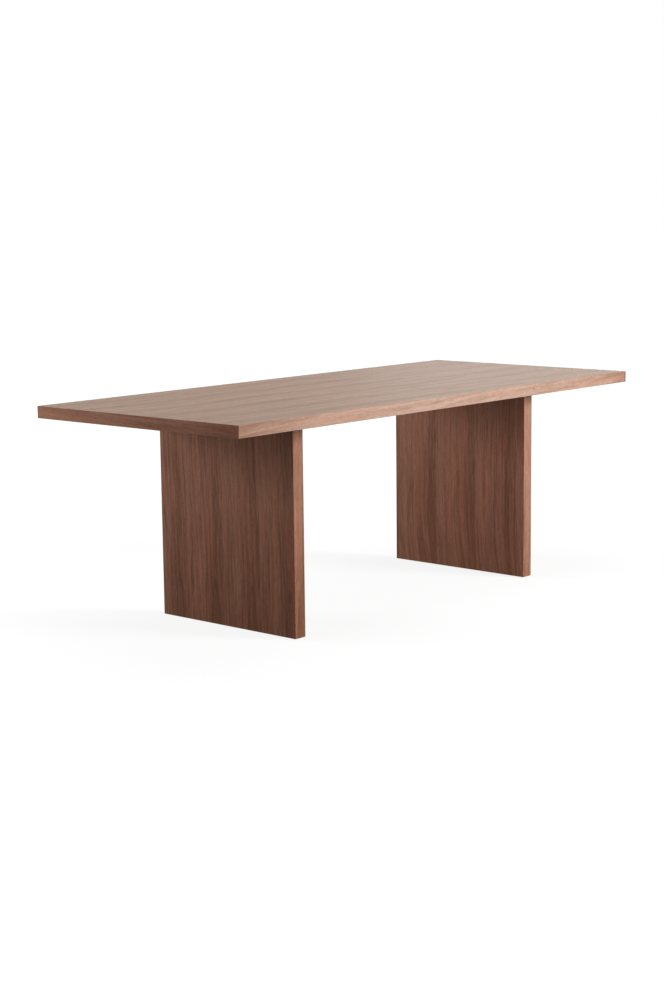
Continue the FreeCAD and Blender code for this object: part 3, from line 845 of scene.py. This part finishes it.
# %% Veneer of the top
TOP_SPECULAR = 0.22
TOP_VENEER = {
    # These colours are greyer than the legs': partly the wood, partly a painted sheen.
    "colours": {"Pale": hue(162, 130, 105), "Dark": hue(134, 101, 75), "Red": hue(168, 123, 97)},
    "leaf": {"Leaf Width": 0.150, "First Joint": 0.0},
    "log": {
        "Heart Across": 0.060,
        "Heart Along": -0.35,
        "Heart Depth": 0.012,
        "Rise": 0.055,
        "Reach": 1.6,
        "Lean": 0.006,
        "Wander": 0.012,
    },
    "rings": {"Ring Width": 0.0075},
    "show": {
        "Satin": 0.45,
        "Tone Strength": 0.50,
        "Heart Strength": 0.14,
        "Line Strength": 0.28,
        "Streak Strength": 2.1,
        "Blush Strength": 0.5,
        "Fleck Strength": 0.25,
        "Fibre Strength": 0.35,
        "Pore Strength": 0.30,
    },
}
TOP_BOARD = box_round(*(f"top_{edge}_lipping" for edge in ("front", "back", "left", "right")))
top_walnut = wood("top_walnut", "YZX", 21.0, TOP_BOARD, **TOP_VENEER, specular=TOP_SPECULAR)
dress(top_walnut, "top_face_veneer")
underside_walnut = wood("underside_walnut", "YZX", 27.0, TOP_BOARD, **TOP_VENEER)
dress(underside_walnut, "top_underside_veneer")

# %% [markdown]
# The edges of the top are closed with lippings of solid walnut, 6 mm thick. The long ones are sawn from
# paler wood than the veneer, and their lines cross the edge at a shallow slant because no board is sawn
# quite along its fibres. A piece this long crosses paler and darker parts of its tree, and the blush
# leaves it towards one end. Veneer wrapped round the edge would look alike from afar, but its ends would
# show no end grain.

# %% Lippings of the top
LONG_COLOURS = {"Pale": hue(203, 172, 154), "Dark": hue(159, 120, 100), "Red": hue(205, 160, 139)}
END_COLOURS = {"Pale": hue(186, 132, 106), "Dark": hue(130, 82, 58), "Red": hue(186, 120, 92)}
LIPPING = {
    "log": {"Heart Across": 0.10, "Heart Depth": 0.30, "Reach": 1.0, "Lean": -0.045, "Wander": 0.014},
    "rings": {"Ring Width": 0.0055},
    "show": {
        "Satin": 0.62,
        "Tone Strength": 0.10,
        "Line Strength": 0.06,
        "Streak Strength": 1.0,
        "Blush Strength": 0.6,
        "Fleck Strength": 0.55,
        "Fibre Strength": 0.40,
        "Pore Strength": 0.30,
    },
}
LONG_SHADES = (
    (0.0, 0.82), (0.07, 0.63), (0.18, 0.49), (0.38, 0.36), (0.52, 0.32), (0.64, 0.33),
    (0.72, 0.44), (0.78, 0.46), (0.84, 0.46), (0.89, 0.50), (0.95, 0.70), (1.0, 0.98),
)
# The ends of the top get darker towards the front: partly painted shade, where the light from the back
# left falls off.
END_TONE_AND_PAINTED_SHADE = ((0.0, 0.70), (0.3, 0.48), (0.6, 0.40), (1.0, 0.26))
LONG_FADE = ("Blush Strength", 0.55, 1.00, 0.60, 0.20)
FRONT_KNOT = (0.7235, 0.4511)


def dress_lipping(name, order, seed, board, colours, stops, **extra):
    """Dresses one lipping, with its tones spread from its low end to its high end; on the legs and the
    ends of the top these tones are partly painted shade.
    """
    low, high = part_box(name)
    run = "XYZ".index(order[-1])
    tones_and_shade = (low[run], high[run], stops)
    walnut = wood(f"{name}_walnut", order, seed, board, colours, tones_and_shade=tones_and_shade, **LIPPING, **extra)
    dress(walnut, name)


for edge, seed, knot in (("front", 31.0, FRONT_KNOT), ("back", 33.0, None)):
    name = f"top_{edge}_lipping"
    dress_lipping(name, "ZYX", seed, TOP_BOARD, LONG_COLOURS, LONG_SHADES, fade=LONG_FADE, knot=knot)
for edge, seed in (("left", 35.0), ("right", 37.0)):
    dress_lipping(f"top_{edge}_lipping", "ZXY", seed, TOP_BOARD, END_COLOURS, END_TONE_AND_PAINTED_SHADE)

# %% [markdown]
# The upright edges of the legs and the edge that faces the floor have the same lippings in a redder wood.
# The upright ones get darker towards the foot, as they do in the photograph: that darkening is painted
# shade, and the left leg's are toned darker than the right's. Along the bottom ones the same tones run
# from front to back. One long strip could be bent round all three edges, but straight pieces are glued on
# instead, so each has a material with a grain of its own.

# %% Lippings of the legs
LEG_EDGE_COLOURS = {"Pale": hue(175, 135, 113), "Dark": hue(124, 83, 62), "Red": hue(175, 122, 99)}
# Painted shade: darker towards the foot, as if less light reached there.
LEG_EDGE_TONE_AND_PAINTED_SHADE = {
    "left": ((0.0, 0.80), (0.2, 0.74), (0.45, 0.63), (0.7, 0.51), (1.0, 0.46)),
    "right": ((0.0, 0.54), (0.2, 0.45), (0.45, 0.32), (0.7, 0.20), (1.0, 0.18)),
}
for side, first_seed in (("left", 41.0), ("right", 51.0)):
    low, high = leg_box(side)
    board = (low, high + HIDDEN_HEAD)
    for edge, order, step in (("front", "XYZ", 0.0), ("back", "XYZ", 2.0), ("bottom", "XZY", 4.0)):
        name = f"{side}_leg_{edge}_lipping"
        dress_lipping(name, order, first_seed + step, board, LEG_EDGE_COLOURS, LEG_EDGE_TONE_AND_PAINTED_SHADE[side])

# %% [markdown]
# Inside the boards, frames of planed softwood keep the skins apart. A new recipe could draw them, but it
# is the same wood with other values: pale, with narrow and regular rings, a heart far away from the cut,
# and no open pores.

# %% Softwood of the frames
SIDES = ("left", "right")
ENDS = ("front", "back")
SOFTWOOD = {
    "colours": {"Pale": hue(222, 192, 150), "Dark": hue(196, 154, 104), "Red": hue(214, 170, 122)},
    "log": {
        "Heart Across": 0.14,
        "Heart Depth": 0.07,
        "Rise": 0.02,
        "Reach": 1.0,
        "Lean": 0.01,
        "Wander": 0.008,
    },
    "rings": {"Ring Width": 0.0042},
    "show": {
        "Satin": 0.72,
        "Tone Strength": 0.40,
        "Line Strength": 0.34,
        "Streak Strength": 0.7,
        "Blush Strength": 0.4,
        "Fleck Strength": 0.10,
        "Fibre Strength": 0.25,
    },
}
LEG_RAILS = ("top_rail", "middle_rails", "bottom_rail")
CROSS_PIECES = ("end_rail", "mounting_block")
for seed, order, names in (
    (61.0, "YZX", [f"top_{end}_rail" for end in ENDS]),
    (63.0, "XZY", [f"top_{side}_{piece}" for piece in CROSS_PIECES for side in SIDES]),
    (65.0, "XZY", ["top_cross_ribs"]),
    (67.0, "YXZ", [f"{side}_leg_{end}_stile" for side in SIDES for end in ENDS]),
    (69.0, "ZXY", [f"{side}_leg_{rail}" for side in SIDES for rail in LEG_RAILS]),
):
    dress(wood(f"softwood_{names[0]}", order, seed, box_round(*names), **SOFTWOOD), *names)

# %% [markdown]
# The other pieces have no grain. Fibreboard, paint, metal and nylon are all a mottled colour under fine
# specks, and could each have a texture of their own. One group gives them all: clouds for the mottle,
# finer clouds for the specks, a roughness that follows the specks, and another colour where an edge is
# rubbed.

# %% Node group: mottled finish
MOTTLE_SHARE = 0.06
SPECK_SHARE = 0.4
SPECK_EDGES = (0.25, 0.75)
SPECK_DETAIL = 3.0


def clouds(bench, given, scale):
    """Cloudy values from 0 to 1, so many cells to the metre."""
    sockets = {"Vector": given["Position"], "W": given["Seed"], "Scale": scale, "Detail": SPECK_DETAIL}
    cloud = bench.add("ShaderNodeTexNoise", sockets, noise_dimensions="4D").outputs[0]
    return bench.ease(cloud, *SPECK_EDGES)


mottle_group, bench, given, result = new_group(
    "mottled_finish",
    {"Position": VECTOR}
    | values("Cells", "Seed", "Arris", "Smoothest", "Roughest")
    | tints("Light", "Dark", "Worn"),
    tints("Colour") | values("Roughness", "Height"),
)
speck = clouds(bench, given, given["Cells"])
mottle = clouds(bench, given, bench.sum("MULTIPLY", given["Cells"], MOTTLE_SHARE))
tone = bench.sum("MULTIPLY", mottle, 1.0 - SPECK_SHARE)
tone = bench.sum("MULTIPLY_ADD", speck, SPECK_SHARE, tone)
mottled = bench.blend(tone, given["Dark"], given["Light"])
bench.feed(result["Colour"], bench.blend(given["Arris"], mottled, given["Worn"]))
bench.feed(result["Roughness"], bench.ease(speck, 0.0, 1.0, given["Smoothest"], given["Roughest"]))
bench.feed(result["Height"], speck)
print("group", mottle_group.name)

# %% [markdown]
# Fibreboard is wood ground to short felted fibres and pressed flat: dull, even and a little furry. A scan
# of a board could be wrapped round the skins, but its mottle is easily drawn, and drawn it never repeats.
# The recipe for all finishes without grain is written here, where it is first needed. A finish is rubbed
# along its edges only if it is handed the box of its board.

# %% Fibreboard of the skins
FIBREBOARD = {
    "Seed": 71.0,
    "Cells": 1100.0,
    "Light": hue(176, 150, 122),
    "Dark": hue(148, 122, 96),
    "Worn": hue(184, 160, 132),
    "Smoothest": 0.82,
    "Roughest": 0.97,
}
FELT_HEIGHT = 0.00005


def plain(name, look, relief, board=None, metallic=0.0):
    """A finish without grain. look is the values of the group by name, relief the height of the specks."""
    material, bench, surface = new_bench(name)
    position = bench.add("ShaderNodeTexCoord").outputs["Object"]
    sockets = {"Position": position} | look
    if board:
        sockets["Arris"] = worn_and_highlit_edges(bench, position, board)
    finish = bench.use(mottle_group, sockets)
    bump_sockets = {"Height": finish["Height"], "Strength": 1.0, "Distance": relief}
    shader = bench.add("ShaderNodeBsdfPrincipled", {
        "Base Color": finish["Colour"],
        "Roughness": finish["Roughness"],
        "Metallic": metallic,
        "Normal": bench.add("ShaderNodeBump", bump_sockets).outputs[0],
    })
    bench.feed(surface, shader.outputs[0])
    return material


for names in (
    ("top_upper_skin", "top_lower_skin"),
    ("left_leg_outer_skin", "left_leg_inner_skin"),
    ("right_leg_outer_skin", "right_leg_inner_skin"),
):
    dress(plain(f"{names[0]}_fibreboard", FIBREBOARD, FELT_HEIGHT, box_round(*names)), *names)

# %% [markdown]
# A steel plate in the head of each leg is bolted up into the top. It wears a black powder coat, which
# flows out in the oven to the skin of an orange and is a little greyer where an edge is rubbed. The bolts
# are blackened, which leaves them metallic. Both could be one plain black, but paint and blackened steel
# mirror light differently.

# %% Plates and bolts
POWDER_COAT = {
    "Seed": 73.0,
    "Cells": 650.0,
    "Light": hue(54, 54, 56),
    "Dark": hue(43, 43, 45),
    "Worn": hue(78, 78, 80),
    "Smoothest": 0.38,
    "Roughest": 0.56,
}
BLACKENED = {
    "Seed": 75.0,
    "Cells": 1800.0,
    "Light": hue(62, 61, 63),
    "Dark": hue(46, 46, 50),
    "Smoothest": 0.30,
    "Roughest": 0.50,
}
COAT_HEIGHT = 0.00003
METAL_HEIGHT = 0.00001
BLACKENED_METALLIC = 0.8
for side in SIDES:
    name = f"{side}_leg_plate"
    dress(plain(f"{side}_plate_powder_coat", POWDER_COAT, COAT_HEIGHT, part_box(name)), name)
blackened = plain("blackened_steel", BLACKENED, METAL_HEIGHT, metallic=BLACKENED_METALLIC)
dress(blackened, "plate_bolts")

# %% [markdown]
# Washers, screws, inserts and nuts are zinc plated: bright, but never a mirror, because the plating grows
# in small crystals that are smoother here and rougher there. The feet are moulded nylon, nearly black and
# evenly dull from the blasted steel of their mould. A single roughness would make both look like the same
# plastic.

# %% Zinc and nylon
ZINC = {
    "Seed": 77.0,
    "Cells": 900.0,
    "Light": hue(212, 213, 214),
    "Dark": hue(190, 193, 197),
    "Smoothest": 0.20,
    "Roughest": 0.42,
}
NYLON = {
    "Seed": 79.0,
    "Cells": 1500.0,
    "Light": hue(66, 62, 58),
    "Dark": hue(54, 51, 48),
    "Smoothest": 0.50,
    "Roughest": 0.70,
}
NYLON_HEIGHT = 0.00003
feet = [f"{side}_{end}_foot" for side in SIDES for end in ENDS]
zinc = plain("bright_zinc", ZINC, METAL_HEIGHT, metallic=1.0)
dress(zinc, "bolt_washers", "plate_screws", "top_inserts", "leg_inserts", "foot_nuts")
dress(zinc, *(f"{foot}_screw" for foot in feet))
nylon = plain("moulded_nylon", NYLON, NYLON_HEIGHT)
dress(nylon, *(f"{foot}_pad" for foot in feet))

# %% [markdown]
# A levelling foot hangs on a screw, and when the foot is wound out, a few turns of its thread show between
# the pad and the leg. The imported screw is a plain rod, because there the turning is done by numbers. A
# thread is one strip wound round a core. The Screw modifier can sweep its profile, but leaves both ends
# ragged, so here the rows of the strip are laid along the helix one by one. Corners that would pass an end
# stay on the core, where they can be welded to the head below and close to a chamfered tip above.

# %% A thread
SCREW_SIDES = 36
THREAD_PITCH = 0.00125
CREST = 0.0040
CORE = 0.00323
THREAD_PROFILE = ((0.0, CREST), (0.125, CREST), (0.4375, CORE), (0.6875, CORE))
SPARE_TURNS = 3


def screw_corner(shape, middle, step, radius, height):
    """One corner of a screw, so many steps round its axis."""
    angle = math.tau * step / SCREW_SIDES
    x = middle.x + radius * math.cos(angle)
    y = middle.y + radius * math.sin(angle)
    return shape.verts.new((x, y, height))


def thread_place(row, step, low, high):
    """Radius and height of a corner of the strip. Row 0 starts a turn below the thread."""
    turn, place = divmod(row, len(THREAD_PROFILE))
    share, radius = THREAD_PROFILE[place]
    height = low + (turn - 1 + share + step / SCREW_SIDES) * THREAD_PITCH
    if not low < height < high:
        return CORE, min(max(height, low), high)
    return min(radius, CORE + high - height), height


def add_thread(shape, middle, low, high):
    """Winds the strip. After a full turn each row goes on as the same row of the next turn."""
    turn = len(THREAD_PROFILE)
    rows = range((math.ceil((high - low) / THREAD_PITCH) + SPARE_TURNS) * turn)
    steps = range(SCREW_SIDES)
    strip = [
        [screw_corner(shape, middle, step, *thread_place(row, step, low, high)) for step in steps]
        for row in rows
    ]
    for row in rows[: -turn - 1]:
        here = strip[row] + strip[row + turn][:1]
        above = strip[row + 1] + strip[row + 1 + turn][:1]
        for step in steps:
            shape.faces.new((here[step], here[step + 1], above[step + 1], above[step]))


print("thread of", 2 * CREST * MILLIMETRES, "by", THREAD_PITCH * MILLIMETRES, "mm")

# %% [markdown]
# Below the thread, the head of the screw turns inside the pad, and its hexagon socket takes a key through
# the hole under the foot. A cylinder with a hole cut by a boolean would do, but leaves long thin faces.
# Here the whole head is rings of corners, each joined to the next: round ones down its outside, then two
# hexagons up into the socket. The finished screw rides on the body that turns, and stands for the plain
# rod.

# %% Foot screws
HEAD_HEIGHT = 0.0026
HEAD_BEVEL = 0.0003
KEY_HALF_FLATS = 0.0025
KEY_DEPTH = 0.0035
KEY_SIDES = 6
SHARP_ANGLE = math.radians(30)
WELD = 0.000001


def key_radius(step):
    """The distance from the axis to the side of the hexagon."""
    side = math.tau / KEY_SIDES
    return KEY_HALF_FLATS / math.cos(math.tau * step / SCREW_SIDES % side - side / 2)


def add_head(shape, middle, radius, low, neck):
    """Rings from the core, down the outside of the head and up into its socket."""
    steps = range(SCREW_SIDES)
    rings = [[screw_corner(shape, middle, step, size, height) for step in steps] for size, height in (
        (CORE, neck),
        (radius - HEAD_BEVEL, neck),
        (radius, neck - HEAD_BEVEL),
        (radius, low + HEAD_BEVEL),
        (radius - HEAD_BEVEL, low),
    )]
    for height in (low, low + KEY_DEPTH):
        rings.append([screw_corner(shape, middle, step, key_radius(step), height) for step in steps])
    for first, second in zip(rings, rings[1:]):
        for step in steps:
            shape.faces.new((first[step], first[step - 1], second[step - 1], second[step]))
    shape.faces.new(rings[-1])


def threaded_screw(name, node):
    """A foot screw in the place of its packed rod: thread, tip, head and socket, welded together."""
    low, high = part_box(node)
    middle = (low + high) / 2
    neck = low.z + HEAD_HEIGHT
    shape = bmesh.new()
    add_thread(shape, middle, neck, high.z)
    add_head(shape, middle, (high.x - low.x) / 2, low.z, neck)
    shape.faces.new([screw_corner(shape, middle, step, CORE, high.z) for step in range(SCREW_SIDES)])
    bmesh.ops.remove_doubles(shape, verts=shape.verts, dist=WELD)
    bmesh.ops.recalc_face_normals(shape, faces=shape.faces)
    open_edges = sum(not edge.is_manifold for edge in shape.edges)
    mesh = bpy.data.meshes.new(name)
    shape.to_mesh(mesh)
    shape.free()
    for face in mesh.polygons:
        face.use_smooth = True
    mesh.set_sharp_from_angle(angle=SHARP_ANGLE)
    print(name, len(mesh.polygons), "faces,", open_edges, "open edges")
    return bpy.data.objects.new(name, mesh)


for foot in feet:
    screw = threaded_screw(f"{foot}_threaded_screw", f"{foot}_screw")
    screw.data.materials.append(zinc)
    scene.collection.objects.link(screw)
    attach(screw, foot.replace("foot", "screw"))
    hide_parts(f"{foot}_screw")

# %% [markdown]
# A piece that was forgotten keeps its plain colour, and may show only from one side. It could be looked
# for in renders from all sides, but reading the slots finds the hidden ones too.

# %% Find pieces left bare
def is_bare(piece):
    """True for a piece with no material, or with one of the plain colours that it was packed with."""
    finishes = {finish.name for finish in piece.data.materials}
    return not finishes or not finishes.isdisjoint(packed_colours)


bare = [name for name, piece in pieces.items() if is_bare(piece)]
print(len(bare), "pieces left bare", bare)
